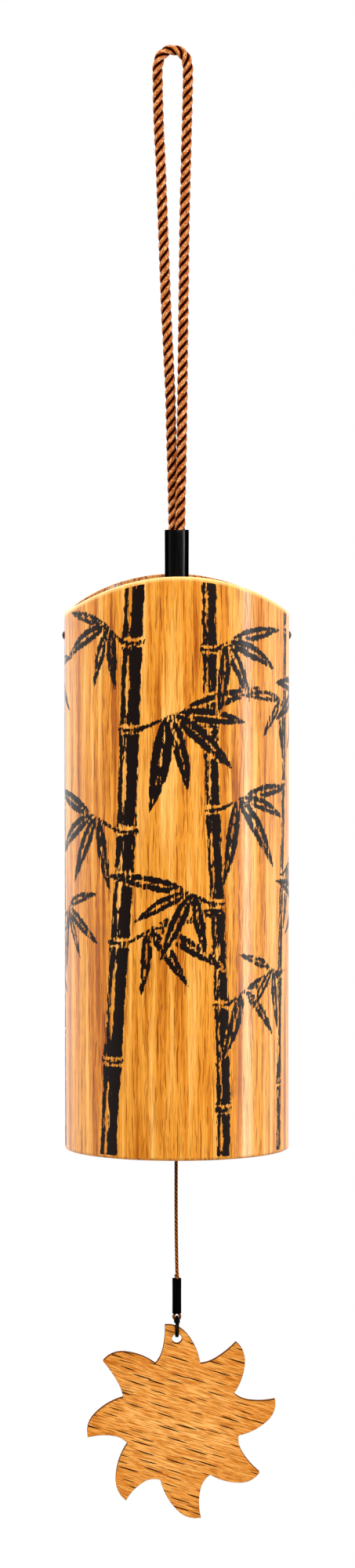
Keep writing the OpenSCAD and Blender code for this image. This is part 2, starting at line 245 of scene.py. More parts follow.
def veneer_marks(g, bands):
    """Red-brown dashes along the grain on the unrolled tube, stronger where the bands are dark."""
    parts = g.add("ShaderNodeSeparateXYZ", {0: g.place()}).outputs
    turn = g.math("ARCTAN2", parts["X"], g.math("MULTIPLY", parts["Y"], -1.0))
    sway = g.span(g.noise(g.place((1, 1, 0.3)), 2.5 * MM, 2), 0.2, 0.8, -0.3 * MM, 0.3 * MM)
    across = g.math("ADD", g.math("MULTIPLY", turn, TUBE_R), sway)
    where = g.add("ShaderNodeCombineXYZ", {"X": parts["Z"], "Y": across}).outputs[0]
    marks = 0.0
    for cell, size, share, strength in VENEER_MARKS:
        dashes = g.dashes(where, [c * MM for c in cell], [c * MM for c in size], share)
        marks = g.math("MAXIMUM", marks, g.math("MULTIPLY", dashes, strength))
    return g.math("MULTIPLY", marks, g.span(bands, 0.42, 0.62, 1.0, 0.4))


def fleck_wood(name, turn, tones, fleck):
    """Beech: fine grain along X after the turn, with short brown and longer dark flecks along it."""
    g = Graph(name, Specular_IOR_Level=0.05)
    hairs = g.noise(g.place((0.07, 1, 1), turn), 0.32 * MM, 3, 0.65)
    bands = g.noise(g.place((0.12, 1, 1), turn), 4.0 * MM, 2)
    tone = g.weighed(hairs, 0.9, bands)
    colour = g.ramp(tone, list(zip((0.36, 0.49, 0.62), tones)))
    where = g.place((1, 1, 1), turn)
    small = g.dashes(where, (4.4 * MM, 0.8 * MM), (3.6 * MM, 0.24 * MM), 0.85)
    large = g.dashes(where, (10.5 * MM, 2.0 * MM), (7.0 * MM, 0.42 * MM), 0.95)
    colour = g.mix(g.math("MULTIPLY", small, 0.65), colour, tuple(0.35 * c for c in tones[0]))
    colour = g.mix(large, colour, fleck)
    return g, colour, g.math("SUBTRACT", hairs, large)


def sun_wood():
    """Beech with flecks that slope down to the right, smoked towards the tips and scorched where cut."""
    slope = math.radians(17.5)
    tones = ((0.42, 0.115, 0.009), (0.64, 0.258, 0.047), (0.78, 0.400, 0.118))
    g, colour, relief = fleck_wood("sun_wood", (-math.pi / 2, 0, slope), tones, (0.005, 0.0015, 0.0005))
    low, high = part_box("sun_catcher")
    inputs = {0: g.place((1, 0, 1)), 1: (0, 0, (low.z + high.z) / 2)}
    reach = g.add("ShaderNodeVectorMath", inputs, operation="DISTANCE").outputs["Value"]
    colour = g.mix(g.span(reach, 6 * MM, 25 * MM), colour, (0.86, 0.74, 0.54), "MULTIPLY")
    scorch = g.span(g.facing(1), 0.35, 0.9, 1.0, 0.0)
    colour = g.mix(g.math("MULTIPLY", scorch, 0.92), colour, (0.07, 0.018, 0.003))
    g.drive("Base Color", colour)
    g.drive("Specular IOR Level", g.math("MULTIPLY", g.math("SUBTRACT", 1.0, scorch), 0.05))
    g.drive("Roughness", g.span(relief, 0.0, 0.8, 0.62, 0.46))
    g.bump(relief, 0.05 * MM, 0.6)
    return g.material


def striker_wood():
    """Plain sanded beech."""
    tones = ((0.46, 0.21, 0.055), (0.58, 0.31, 0.11), (0.68, 0.41, 0.18))
    g, colour, relief = fleck_wood("striker_wood", (0, 0, 0.6), tones, (0.10, 0.04, 0.015))
    g.drive("Base Color", colour)
    g.drive("Roughness", g.span(relief, 0.0, 0.8, 0.7, 0.52))
    g.bump(relief, 0.05 * MM, 0.6)
    return g.material


def rope_fibre():
    """Coppery yarns of random tone, with a painted highlight in tan on the crowns of the strands, painted
    shade in rust on their flanks and black painted shade in the grooves.
    """
    g = Graph("rope_fibre")
    lay = g.vector("lay")
    depth = g.value("depth")
    yarn = g.noise(g.stretched(lay, (0.4, 1, 1)), 0.24 * MM, 3, 0.7)
    patch = g.noise(lay, 1.2 * MM, 2)
    # The depth term paints shade on the flanks and a highlight on the crowns.
    tone = g.math("ADD", g.weighed(yarn, 0.8, patch), g.span(depth, 0.76, 1.0, -0.24, 0.05))
    colour = g.ramp(tone, [(0.34, (0.085, 0.009, 0.0003)), (0.46, (0.22, 0.040, 0.003)),
                           (0.57, (0.44, 0.138, 0.026)), (0.68, (0.86, 0.52, 0.25))])
    # Painted shade: black in the grooves between the strands.
    groove_shade = g.span(depth, 0.75, 0.87, 1.0, 0.0)
    colour = g.mix(groove_shade, colour, (0.002, 0.0003, 0.0002))
    g.drive("Base Color", colour)
    g.drive("Specular IOR Level", g.math("MULTIPLY", g.math("SUBTRACT", 1.0, groove_shade), 0.08))
    g.drive("Roughness", g.span(yarn, 0.3, 0.7, 0.62, 0.45))
    g.bump(yarn, 0.12 * MM, 0.8)
    return g.material


def cord_braid():
    """Waxed braid of brown and near-black yarns, with painted shade near-black in its grooves and on its
    core.
    """
    g = Graph("cord_braid", Specular_IOR_Level=0.03)
    yarn = g.noise(g.stretched(g.vector("lay"), (0.15, 1, 1)), 0.08 * MM, 2)
    brown = g.ramp(yarn, [(0.32, (0.20, 0.026, 0.001)), (0.66, (0.64, 0.18, 0.012))])
    black = g.ramp(yarn, [(0.32, (0.001, 0.0005, 0.0005)), (0.66, (0.006, 0.002, 0.001))])
    colour = g.mix(g.value("tone"), brown, black)
    # Painted shade: near-black where the yarns dip towards the cord's axis.
    groove_shade = g.span(g.value("depth"), 0.60, 0.84, 1.0, 0.0)
    colour = g.mix(g.math("MULTIPLY", groove_shade, 0.95), colour, (0.003, 0.001, 0.0005))
    g.drive("Base Color", colour)
    g.drive("Roughness", g.span(yarn, 0.3, 0.7, 0.6, 0.42))
    g.bump(yarn, 0.05 * MM, 0.7)
    return g.material


def thread_black():
    """Black waxed thread of two twisted plies."""
    g = Graph("thread_black", Specular_IOR_Level=0.02)
    yarn = g.noise(g.stretched(g.vector("lay"), (0.2, 1, 1)), 0.07 * MM, 2)
    g.drive("Base Color", g.ramp(yarn, [(0.3, (0.0005, 0.0005, 0.0005)), (0.72, (0.005, 0.004, 0.004))]))
    g.drive("Roughness", g.span(yarn, 0.3, 0.7, 0.62, 0.45))
    g.bump(yarn, 0.05 * MM, 0.7)
    return g.material


def sleeve_plastic(name, rough, bright, gloss, relief):
    """Shrunk black tubing with faint lengthwise flow lines."""
    g = Graph(name)
    g.drive("Specular IOR Level", g.span(g.away(), 0.16, 0.32, gloss, 0.0))
    flow = g.noise(g.place((1, 1, 0.06)), 0.5 * MM, 3)
    dust = g.noise(g.place(), 0.12 * MM, 2)
    light = (bright, 0.9 * bright, 0.9 * bright)
    g.drive("Base Color", g.ramp(flow, [(0.35, (0.0005, 0.0004, 0.0004)), (0.7, light)]))
    uneven = g.math("ADD", flow, g.math("MULTIPLY", dust, 0.4))
    g.drive("Roughness", g.span(uneven, 0.4, 1.0, rough, rough + 0.14))
    g.bump(flow, 0.04 * MM, relief)
    return g.material


def drawn_steel(name, light, dark, along, roughness):
    """Bright steel with fine lines along its drawing or turning."""
    g = Graph(name, Metallic=1.0)
    lines = g.noise(g.place(along), 0.16 * MM, 3, 0.6)
    stain = g.noise(g.place(), 9 * MM, 3)
    tone = g.weighed(lines, 0.55, stain)
    g.drive("Base Color", g.ramp(tone, [(0.34, dark), (0.62, light)]))
    g.drive("Roughness", g.span(tone, 0.3, 0.7, roughness + 0.12, roughness))
    g.bump(lines, 0.02 * MM, 0.6)
    return g.material


def lumpy_metal(name, light, dark, spot, metallic, roughness):
    """Solder or a dark pin: mottled and slightly uneven."""
    g = Graph(name, Metallic=metallic)
    mottle = g.noise(g.place(), spot, 3, 0.6)
    g.drive("Base Color", g.ramp(mottle, [(0.35, dark), (0.68, light)]))
    g.drive("Roughness", g.span(mottle, 0.3, 0.7, roughness + 0.15, roughness))
    g.bump(mottle, 0.1 * spot, 0.6)
    return g.material


def floor_paint():
    """Pale matt paint with a faint mottle."""
    g = Graph("floor_paint", Roughness=0.9)
    fleck = g.noise(g.place(), 0.02, 3)
    g.drive("Base Color", g.ramp(fleck, [(0.3, (0.90, 0.90, 0.89)), (0.7, (0.94, 0.94, 0.93))]))
    return g.material


ROPE, CORD, THREAD = rope_fibre(), cord_braid(), thread_black()


# Sizes of rope, cord and thread; a groove's depth and a yarn's sizes are shares of the radius
ROPE_D = 3 * MM
ROPE_LAY = 8.8 * MM
ROPE_STEP = 0.3 * MM
ROPE_STRANDS = 3
GROOVE_DEPTH = 0.40
GROOVE_SHAPE = 2.4
CORD_D = 1 * MM
CORD_PITCH = 3.52 * MM
CORD_STEP = 0.13 * MM
CORD_YARNS = 6
YARN_SIDES = 6
YARN_LIFT = 0.11
YARN_OUT = 0.18
YARN_ACROSS = 0.33
EYE_CORD_D = 0.8 * CORD_D
THREAD_R = 0.29 * MM
THREAD_TWIST = 1.5 * MM
THREAD_SIDES = 8


# Meshes made of rings of points
def unit(vectors):
    return vectors / np.linalg.norm(vectors, axis=-1, keepdims=True)


def run_along(path):
    """Length of a path up to each of its points."""
    return np.concatenate([[0], np.cumsum(np.linalg.norm(np.diff(path, axis=0), axis=1))])


def even_path(curve, step):
    """Points about step apart along a curve of close points."""
    run = run_along(curve)
    along = np.linspace(0, run[-1], max(round(run[-1] / step), 2) + 1)
    return np.stack([np.interp(along, run, curve[:, k]) for k in range(3)], axis=1)


def smooth_path(points, step):
    """Points about step apart on a smooth curve through the given ones."""
    knots = np.array(points, float)
    at = run_along(knots)
    slope = np.gradient(knots, at, axis=0)
    fine = np.linspace(0, at[-1], int(4 * at[-1] / step) + 2)
    i = np.clip(np.searchsorted(at, fine, side="right") - 1, 0, len(at) - 2)
    gap = (at[i + 1] - at[i])[:, None]
    t = (fine - at[i])[:, None] / gap
    curve = (1 + 2 * t) * (1 - t) ** 2 * knots[i] + t * t * (3 - 2 * t) * knots[i + 1]
    curve += gap * (t * (1 - t) ** 2 * slope[i] + t * t * (t - 1) * slope[i + 1])
    return even_path(curve, step)


def carried_frames(path, side):
    """Two normals at each point of a path, carried along it without turning about it."""
    tangent = unit(np.gradient(path, axis=0))
    normal = np.empty_like(path)
    carried = np.array(side, float)
    for i, along in enumerate(tangent):
        carried = unit(carried - (carried @ along) * along)
        normal[i] = carried
    return normal, np.cross(tangent, normal)


def spokes(angle, normal, binormal):
    """Directions away from a path, turned by an angle from its first normal towards the second."""
    return np.cos(angle)[..., None] * normal + np.sin(angle)[..., None] * binormal


class Skin:
    """Gathers rings of points into one mesh, with numbers stored on the points."""

    def __init__(self):
        self.points, self.faces, self.values, self.count = [], [], {}, 0

    def add(self, rings, closed=False, **values):
        """Rings that follow each other along their own axis; closed joins the last to the first."""
        rows, sides = rings.shape[:2]
        index = self.count + np.arange(rows * sides).reshape(rows, sides)
        low = index if closed else index[:-1]
        high = np.roll(index, -1, axis=0) if closed else index[1:]
        quads = np.stack([low, np.roll(low, -1, axis=1), np.roll(high, -1, axis=1), high], axis=-1)
        self.faces += quads.reshape(-1, 4).tolist()
        if not closed:
            self.faces += [index[0, ::-1].tolist(), index[-1].tolist()]
        self.points.append(rings.reshape(-1, 3))
        for name, value in values.items():
            shape = (rows, sides, 3) if name == "lay" else (rows, sides)
            self.values.setdefault(name, []).append(np.broadcast_to(value, shape).reshape(rows * sides, -1))
        self.count += rows * sides

    def piece(self, name, material, slot):
        mesh = bpy.data.meshes.new(name)
        mesh.from_pydata(np.concatenate(self.points).tolist(), [], self.faces)
        mesh.polygons.foreach_set("use_smooth", np.ones(len(mesh.polygons), bool))
        for label, parts in self.values.items():
            kind, field = ("FLOAT_VECTOR", "vector") if label == "lay" else ("FLOAT", "value")
            stored = mesh.attributes.new(label, kind, "POINT")
            stored.data.foreach_set(field, np.concatenate(parts).astype(np.float32).ravel())
        mesh.materials.append(material)
        obj = bpy.data.objects.new(name, mesh)
        bpy.context.scene.collection.objects.link(obj)
        return obj


def add_strand(skin, centre, outward, half_out, half_across, sides, axis, reach, shift=0.0, **values):
    """One strand along its centre line, flattened towards the cord's axis. Its depth is 1 at the skin."""
    tangent = unit(np.gradient(centre, axis=0))
    outward = unit(outward - np.sum(outward * tangent, axis=1, keepdims=True) * tangent)
    across = np.cross(tangent, outward)
    turn = math.pi + 2 * math.pi * np.arange(sides) / sides
    out, beside = half_out * np.cos(turn), half_across * np.sin(turn)
    rings = centre[:, None] + out[:, None] * outward[:, None] + beside[:, None] * across[:, None]
    depth = np.linalg.norm(rings - axis[:, None], axis=2) / reach
    run = run_along(centre)
    girth = half_across * (turn - math.pi)
    lay = np.stack(np.broadcast_arrays(run[:, None] + shift, girth + 0.6 * run[:, None], shift), axis=-1)
    skin.add(rings, depth=depth, lay=lay, **values)


def laid_rope(name, path, side=(0, 1, 0), start=0.0):
    """Rope of strands laid round each other to the right and pressed into lobes."""
    radius = ROPE_D / 2
    share = np.linspace(-1, 1, 17)
    reach = radius * (1 - GROOVE_DEPTH * np.abs(share) ** GROOVE_SHAPE)
    normal, binormal = carried_frames(path, side)
    run = start + run_along(path)
    skin = Skin()
    for k in range(ROPE_STRANDS):
        middle = 2 * math.pi * (run / ROPE_LAY + k / ROPE_STRANDS)
        angle = np.column_stack([middle[:, None] + math.pi / ROPE_STRANDS * share, middle])
        out = np.append(reach, 0.03 * radius)[None, :, None]
        rings = path[:, None] + out * spokes(angle, normal[:, None], binormal[:, None])
        girth = np.append(radius * math.pi / ROPE_STRANDS * share, 0)
        lay = np.stack(np.broadcast_arrays(run[:, None], girth + 0.4 * run[:, None], 0.1 * k), axis=-1)
        skin.add(rings, depth=np.append(reach, 0) / radius, lay=lay)
    return skin.piece(name, ROPE, "rope")


def braided_cord(name, path, diameter=CORD_D, side=(0, 1, 0)):
    """Braid of yarns that wind both ways, over and under each other; every second yarn is dark."""
    radius = diameter / 2
    half_out, half_across = YARN_OUT * radius, YARN_ACROSS * radius
    normal, binormal = carried_frames(path, side)
    run = run_along(path)
    middle = len(path) // 2
    front = math.atan2(-binormal[middle][1], -normal[middle][1])
    skin = Skin()
    for way in (1, -1):
        weave = way * np.cos(2 * math.pi * run * CORD_YARNS / CORD_PITCH)
        weave = np.clip(1.6 * weave, -1, 1)
        helix = radius * (1 - YARN_LIFT + YARN_LIFT * weave) - half_out
        for k in range(CORD_YARNS):
            angle = front + 2 * math.pi * (way * run / CORD_PITCH + (k + 0.25) / CORD_YARNS)
            outward = spokes(angle, normal, binormal)
            centre = path + helix[:, None] * outward
            add_strand(skin, centre, outward, half_out, half_across, YARN_SIDES, path, radius,
                       shift=0.1 * k, tone=float(k % 2))
    core = unit(np.stack([normal, binormal, -normal, -binormal], axis=1))
    # Core deep inside the braid. Its small depth gives it painted shade.
    skin.add(path[:, None] + 0.45 * radius * core, depth=0.4, lay=0.0, tone=1.0)
    return skin.piece(name, CORD, "braided_cord")


def lathe(name, profile, material, slot, sides=96, closed=True):
    """Turned piece about the Z axis; profile runs up the outside as (radius, height)."""
    angle = 2 * math.pi * np.arange(sides) / sides
    radius, height = np.array(profile, float).T
    rings = np.stack(np.broadcast_arrays(radius[:, None] * np.sin(angle), -radius[:, None] * np.cos(angle),
                                         height[:, None]), axis=-1)
    skin = Skin()
    skin.add(rings, closed=closed)
    return skin.piece(name, material, slot)


def coil_path(radius, pitch, turns, middle_z, step, tuck=0.45):
    """Turns of cord round the Z axis, with both ends tucked in towards it."""
    share = np.linspace(0, 1, 200)
    angle = 2 * math.pi * turns * share
    inward = np.clip(np.minimum(share, 1 - share) * 2 * turns * 1.6, 0, 1)
    reach = radius * (tuck + (1 - tuck) * inward * inward * (3 - 2 * inward))
    height = middle_z + pitch * turns * (share - 0.5)
    return even_path(np.stack([reach * np.sin(angle), -reach * np.cos(angle), height], axis=1), step)


# Rope: the same route as the solids, from the end of the right leg over the hook to the end of the left leg
ROPE_ROUTE = MM * np.array([
    [0.9, -1.25, -131.7], [1.0, -1.2, -124], [1.2, -1.0, -116], [1.35, -0.8, -108], [1.5, -0.5, -100],
    [1.6, -0.2, -92], [1.7, 0, -84], [1.8, 0, -76], [1.9, 0, -68], [2.0, 0, -60], [2.1, 0, -52],
    [2.2, 0, -44], [2.4, 0, -36], [2.6, 0, -28], [2.8, 0, -20], [3.0, 0, -12], [3.1, 0, -6],
    [3.0, 0, -2.6], [2.4, 0, -0.5], [0.9, 0, 1.0], [-1.1, 0, 1.5], [-3.1, 0, 1.0], [-4.6, 0, -0.5],
    [-5.2, 0, -2.6], [-5.3, 0, -8], [-5.2, 0, -14], [-4.9, 0, -22], [-4.5, 0, -30], [-4.2, 0, -38],
    [-3.9, 0, -46], [-3.6, 0, -54], [-3.3, 0, -62], [-3.0, 0, -70], [-2.6, 0, -78], [-2.2, 0.1, -86],
    [-1.8, 0.3, -94], [-1.6, 0.6, -102], [-1.4, 0.9, -110], [-1.1, 1.2, -120], [-0.9, 1.25, -131.7]
])
LEAD_END, CUT_END = ROPE_ROUTE[0], ROPE_ROUTE[-1]
NECK_Z = PIVOT_Z["chime_nod"]
SLEEVE_LOW, SLEEVE_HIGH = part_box("hanger_sleeve")
LEG_END_Z = SLEEVE_HIGH.z - 1.5 * MM
NECK_TOP_Z = SLEEVE_LOW.z + 0.5 * MM


def down(point, z):
    """The place straight below or above a point at height z."""
    return [point[0], point[1], z]


def make_rope_loop():
    """The loop over the hook."""
    route = [down(LEAD_END, LEG_END_Z), *ROPE_ROUTE.tolist(), down(CUT_END, LEG_END_Z)]
    path = smooth_path(route, ROPE_STEP)
    loop = laid_rope("rope_loop_laid", path)
    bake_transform(loop)
    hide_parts("rope_loop")


def make_rope_tails():
    """The rope in the sleeve: one leg ends there, and the other leads to the middle and out below."""
    bend_z = SLEEVE_LOW.z + 3 * ROPE_D
    cut_route = [down(CUT_END, LEG_END_Z), down(CUT_END, bend_z)]
    lead_route = [down(LEAD_END, LEG_END_Z), down(LEAD_END, bend_z),
                  down(0.75 * LEAD_END, bend_z - 0.75 * ROPE_D), down(0.25 * LEAD_END, bend_z - 1.8 * ROPE_D),
                  [0, 0, bend_z - 2.55 * ROPE_D], [0, 0, NECK_TOP_Z]]
    cut = laid_rope("rope_tail_cut", smooth_path(cut_route, ROPE_STEP))
    lead = laid_rope("rope_tail_lead", smooth_path(lead_route, ROPE_STEP))
    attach(cut, "swivel")
    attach(lead, "swivel")
    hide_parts("rope_tails")


def make_neck():
    """The free rope between sleeve and plate, in two lengths that meet at the neck's pivot."""
    top, low = NECK_TOP_Z, NECK_Z - (NECK_TOP_Z - NECK_Z)
    pivot = (0, 0, NECK_Z)
    upper = laid_rope("neck_rope_upper", smooth_path([(0, 0, top), pivot], ROPE_STEP))
    lower = laid_rope("neck_rope_lower", smooth_path([pivot, (0, 0, low)], ROPE_STEP), start=top - NECK_Z)
    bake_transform(upper)
    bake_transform(lower)
    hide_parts("rope_neck")


def make_stopper_knot():
    """Rope through the plate's hole, wound round itself below the plate."""
    knot_low, knot_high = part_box("rope_knot")
    plate_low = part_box("chime_plate")[0].z
    half = ROPE_D / 2
    top_z = plate_low - half - 0.1 * MM
    low_z = knot_low.z + half
    stem = smooth_path([(0, 0, knot_high.z - 0.2 * MM), (0, 0, low_z + 0.5 * half)], ROPE_STEP)
    turns = 1.75
    coil_r = (knot_high.x - knot_low.x) / 2 - half
    coil = coil_path(coil_r, (top_z - low_z) / turns, turns, (top_z + low_z) / 2, ROPE_STEP)
    for name, path in (("knot_stem", stem), ("stopper_knot", coil)):
        rope = laid_rope(name, path, side=(1, 0, 0.3))
        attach(rope, "chime")
    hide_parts("rope_knot")


# Braided cord: hitch, striker's cord, catcher's cord and eye
HITCH_Z = PIVOT_Z["striker_swing"]
STOP_Z = PIVOT_Z["cord_swing"]
STRIKER_LOW, STRIKER_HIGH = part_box("striker_disc")
SMALL_SLEEVE_LOW, SMALL_SLEEVE_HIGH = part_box("cord_sleeve")
EYE_LOW_Z = PIVOT_Z["link_swing"]
CORD_LEG_X = 0.525 * MM
CORD_LEG_TURN = math.radians(-66)
EYE_R = 0.92 * MM
KNOT_R = 0.8 * MM
KNOT_PITCH = 0.92 * MM
KNOT_STEP = 0.12 * MM


def cord_knot(name, middle_z, body):
    """Two turns of the cord round itself."""
    path = coil_path(KNOT_R, KNOT_PITCH, 2.0, middle_z, KNOT_STEP)
    knot = braided_cord(name, path, side=(0.3, 0, 1))
    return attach(knot, body)


def make_striker_cord():
    """Cord hitched under the rope's knot, with a stop knot above and below the striker's disc."""
    knot_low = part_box("rope_knot")[0].z
    hitch = cord_knot("hitch_knot", HITCH_Z, "cord_top")
    shoulder_z = knot_low + 0.6 * MM
    route = [(-0.5 * MM, 0, HITCH_Z), (-0.55 * MM, 0, shoulder_z), (0, 0, knot_low + 1.3 * MM),
             (0.55 * MM, 0, shoulder_z), (0.5 * MM, 0, HITCH_Z)]
    bight = braided_cord("hitch_bight", smooth_path(route, CORD_STEP))
    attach(bight, "cord_top")
    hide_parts("cord_hitch")
    path = smooth_path([(0, 0, HITCH_Z), (0, 0, STOP_Z)], CORD_STEP)
    cord = braided_cord("striker_cord_braid", path)
    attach(cord, "striker")
    upper_z = STRIKER_LOW.z + STRIKER_HIGH.z - STOP_Z
    stops = [cord_knot("stop_knot_upper", upper_z, "striker"),
             cord_knot("stop_knot_lower", STOP_Z, "striker")]
    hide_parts("striker_cord")


def cord_leg(side, share):
    """Middle of a cord in the small sleeve at a share of its height; at the foot they lie side by side."""
    turn = CORD_LEG_TURN * share
    z = SMALL_SLEEVE_LOW.z + share * (SMALL_SLEEVE_HIGH.z - SMALL_SLEEVE_LOW.z)
    return (side * CORD_LEG_X * math.cos(turn), side * CORD_LEG_X * math.sin(turn), z)


def make_catcher_cord(sleeve):
    """Cord from the striker's lower stop into the small sleeve, and the eye that comes out below it."""
    bend_z = SMALL_SLEEVE_HIGH.z + 3 * MM
    entry = cord_leg(1, 1)
    route = [(0, 0, STOP_Z), (0, 0, (STOP_Z + bend_z) / 2), (0, 0, bend_z + 1 * MM),
             (0.2 * entry[0], 0.2 * entry[1], bend_z - 1 * MM), entry, cord_leg(1, 0.9)]
    path = smooth_path(route, CORD_STEP)
    cord = braided_cord("catcher_cord_braid", path)
    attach(cord, "catcher_line")
    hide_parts("catcher_cord")
    bow = np.linspace(0, math.pi, 13)
    eye_z = EYE_LOW_Z + EYE_R
    cut = Vector(cord_leg(-1, 1)) + Vector((0, 0, 0.7 * MM))
    route = [*[cord_leg(1, share) for share in (0.9, 0.6, 0.3, 0)],
             *[(EYE_R * math.cos(a), 0, eye_z - EYE_R * math.sin(a)) for a in bow],
             *[cord_leg(-1, share) for share in (0, 0.3, 0.6, 1)], tuple(cut)]
    eye = braided_cord("cord_eye_braid", smooth_path(route, CORD_STEP), EYE_CORD_D)
    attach(eye, "catcher_line")
    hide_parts("cord_eye")
    end = melted_end(cut)
    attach(end, "catcher_line")


def melted_end(place):
    """Drop of melted fibre on the cord's cut end."""
    rise = np.linspace(0, math.pi, 10)
    profile = [(max(0.5 * MM * math.sin(a), 0.01 * MM), -0.3 * MM * math.cos(a)) for a in rise]
    drop = lathe("cord_cut_end", profile, THREAD, "black_thread", sides=16, closed=False)
    lay = drop.data.attributes.new("lay", "FLOAT_VECTOR", "POINT")
    lay.data.foreach_set("vector", np.array([v.co for v in drop.data.vertices], np.float32).ravel())
    drop.location = place
    return drop


# Link of thread between the eye and the sun
LINK_LOW_Z = PIVOT_Z["catcher_swing"]
LINK_STEP = 0.1 * MM
LINK_CORNER = 0.45 * MM
EYE_GAP = 0.2 * MM
FACE_GAP = 0.18 * MM
HITCH_R = 0.6 * MM
HITCH_PITCH = 0.42 * MM
HITCH_TURNS = 2.6
HITCH_STEP = 0.08 * MM


def link_turn(flank):
    """One turn of the link as (y, z): over the eye's cord, down the back, through the sun and up again."""
    over_r = EYE_CORD_D / 2 + EYE_GAP + THREAD_R
    bow = np.linspace(0.2, math.pi - 0.2, 9)
    over = [(-over_r * math.cos(a), EYE_LOW_Z + over_r * math.sin(a)) for a in bow]
    back = [(0.92 * flank, EYE_LOW_Z - 1.3 * MM), (flank, EYE_LOW_Z - 2.4 * MM),
            (flank, LINK_LOW_Z + LINK_CORNER),
            (flank - 0.5 * LINK_CORNER, LINK_LOW_Z + 0.1 * LINK_CORNER), (0, LINK_LOW_Z)]
    return over + back + [(-y, z) for y, z in back[-2::-1]]


def make_link():
    """Thread wound twice over the eye's cord and through the sun's hole, and hitched in front of the eye."""
    sun_low, sun_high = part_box("sun_catcher")
    flank = (sun_high.y - sun_low.y) / 2 + FACE_GAP + THREAD_R
    hitch_z = EYE_LOW_Z - 0.2 * MM
    turn = link_turn(flank)
    turns = [(-0.92 * flank, hitch_z - 0.5 * MM), *turn, *turn]
    sides = -np.cos(2 * math.pi * np.linspace(0, 1, len(turns)))
    heights = [LINK_LOW_Z, LINK_LOW_Z + 1.2 * MM, EYE_LOW_Z, EYE_LOW_Z + 0.8 * MM]
    splay = [0.26 * MM, 0.27 * MM, 0.36 * MM, 0.25 * MM]
    points = [(side * np.interp(z, heights, splay), y, z) for side, (y, z) in zip(sides, turns)]
    link = plied_thread("link_thread", smooth_path(points, LINK_STEP))
    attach(link, "link")
    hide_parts("link_loop")
    hitch = coil_path(HITCH_R, HITCH_PITCH, HITCH_TURNS, 0, HITCH_STEP, tuck=0.3)
    hitch = hitch * [1.0, 0.7, 1.0] + [0, -0.62 * flank, hitch_z]
    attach(plied_thread("link_hitch", hitch), "link")


def plied_thread(name, path):
    """Thread of two plies twisted together."""
    normal, binormal = carried_frames(path, (0.94, 0.1, 0.33))
    run = run_along(path)
    half_out, half_across = 0.6 * THREAD_R, 0.85 * THREAD_R
    skin = Skin()
    for k in range(2):
        angle = 2 * math.pi * (run / THREAD_TWIST + k / 2)
        outward = spokes(angle, normal, binormal)
        centre = path + 0.4 * THREAD_R * outward
        add_strand(skin, centre, outward, half_out, half_across, THREAD_SIDES, path, THREAD_R, shift=0.1 * k)
    return skin.piece(name, THREAD, "black_thread")


# Sleeves
SLEEVE_WAIST = 0.012


def sleeve(name, node, wall, ease, material, slot, body):
    """Shrunk tubing with eased ends, drawn in slightly at half its height."""
    low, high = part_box(node)
    radius = (high.x - low.x) / 2
    inner = radius - wall
    quarter = np.linspace(0, math.pi / 2, 5)
    profile = [(radius - ease + ease * math.sin(a), low.z + ease - ease * math.cos(a)) for a in quarter]
    for t in np.linspace(0.06, 0.94, 16):
        waist = 1 - SLEEVE_WAIST * math.sin(math.pi * t) ** 2
        profile.append((radius * waist, low.z + t * (high.z - low.z)))
    profile += [(radius - ease + ease * math.cos(a), high.z - ease + ease * math.sin(a)) for a in quarter]
    profile += [(inner, high.z - 0.3 * ease), (inner, low.z + 0.3 * ease)]
    piece = lathe(name, profile, material, slot)
    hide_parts(node)
    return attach(piece, body)


def make_hanger_sleeve():
    """The glossy sleeve that holds the rope's two legs."""
    plastic = sleeve_plastic("sleeve_gloss", rough=0.2, bright=0.0005, gloss=0.22, relief=0.5)
    return sleeve("hanger_sleeve_black", "hanger_sleeve", wall=0.3 * MM, ease=0.14 * MM, material=plastic,
                  slot="gloss_sleeve", body="swivel")


def make_cord_sleeve():
    """The matt sleeve that closes the cord's eye."""
    plastic = sleeve_plastic("sleeve_matt", rough=0.6, bright=0.001, gloss=0.01, relief=0.1)
    return sleeve("cord_sleeve_black", "cord_sleeve", wall=0.2 * MM, ease=0.1 * MM, material=plastic,
                  slot="matt_sleeve", body="catcher_line")


# Tube
TUBE_LOW, TUBE_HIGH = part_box("resonator_tube")
TUBE_R = TUBE_HIGH.y
TUBE_WALL = 3 * MM
ARCH_FALL = 10.5 * MM
ARCH_R = (TUBE_R ** 2 + ARCH_FALL ** 2) / (2 * ARCH_FALL)
RIM_EASE = 0.45 * MM
SMALL_EASE = 0.3 * MM
TUBE_COLUMNS = 360
TUBE_ROWS = 228
INNER_ROWS = 14

# Print in mm. A stalk has the place of its foot round the tube from the front, its lean, half its width
# and the heights of its joints
STALKS = (
    (-21.0, 0.055, 2.9, (-6, 27, 60, 91, 119, 143, 168)),
    (12.5, -0.030, 2.0, (-4, 14, 43, 71, 97, 120, 141, 165)),
    (34.0, 0.035, 1.3, (-8, 20, 50, 78, 103, 125, 146, 166)),
    (-46.0, -0.020, 1.5, (-2, 33, 66, 97, 124, 148, 170)),
    (62.0, 0.030, 2.6, (-5, 30, 64, 95, 123, 147, 169)),
    (-72.0, 0.040, 2.1, (-7, 22, 52, 81, 108, 131, 152, 172)),
    (88.0, -0.020, 1.4, (-4, 17, 46, 74, 100, 123, 144, 166)),
)
